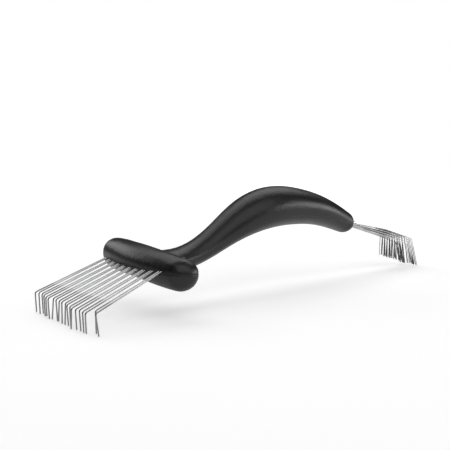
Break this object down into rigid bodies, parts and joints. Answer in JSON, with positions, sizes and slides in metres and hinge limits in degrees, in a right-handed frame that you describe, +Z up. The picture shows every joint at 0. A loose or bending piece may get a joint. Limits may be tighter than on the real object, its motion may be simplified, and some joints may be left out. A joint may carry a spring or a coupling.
{
  "type": "grooming brush cleaner",
  "caption": "Two-ended cleaner for grooming brushes and combs: black arched plastic handle, wire hairpin rake on a crescent head at one end, small bent-wire brush at the other.",
  "frame": {"origin": "on the surface the tool stands on, under the middle of its box", "axes": "+X from the rake to the brush, along the tool; +Y across the tool; +Z up from the surface it stands on"},
  "size_m": [0.217, 0.0606, 0.0492],
  "materials": {
    "black_plastic": "satin moulded",
    "inner_nylon": "matte moulded",
    "rake_wire_steel": "bright drawn wire",
    "ferrule_steel": "plain",
    "brush_wire_steel": "plain drawn wire"
  },
  "bodies": {
    "root": {"handle_upper_shell": "black_plastic", "handle_lower_shell": "black_plastic", "rake_carrier": "inner_nylon", "rake_clamp_strip": "inner_nylon", "rake_wire_01": "rake_wire_steel", "rake_wire_02": "rake_wire_steel", "rake_wire_03": "rake_wire_steel", "rake_wire_04": "rake_wire_steel", "rake_wire_05": "rake_wire_steel", "rake_wire_06": "rake_wire_steel", "rake_wire_07": "rake_wire_steel", "rake_wire_08": "rake_wire_steel", "rake_wire_09": "rake_wire_steel", "rake_wire_10": "rake_wire_steel", "brush_ferrule": "ferrule_steel", "brush_wires_layer_1": "brush_wire_steel", "brush_wires_layer_2": "brush_wire_steel", "brush_wires_layer_3": "brush_wire_steel", "brush_wires_layer_4": "brush_wire_steel"}
  },
  "joints": []
}
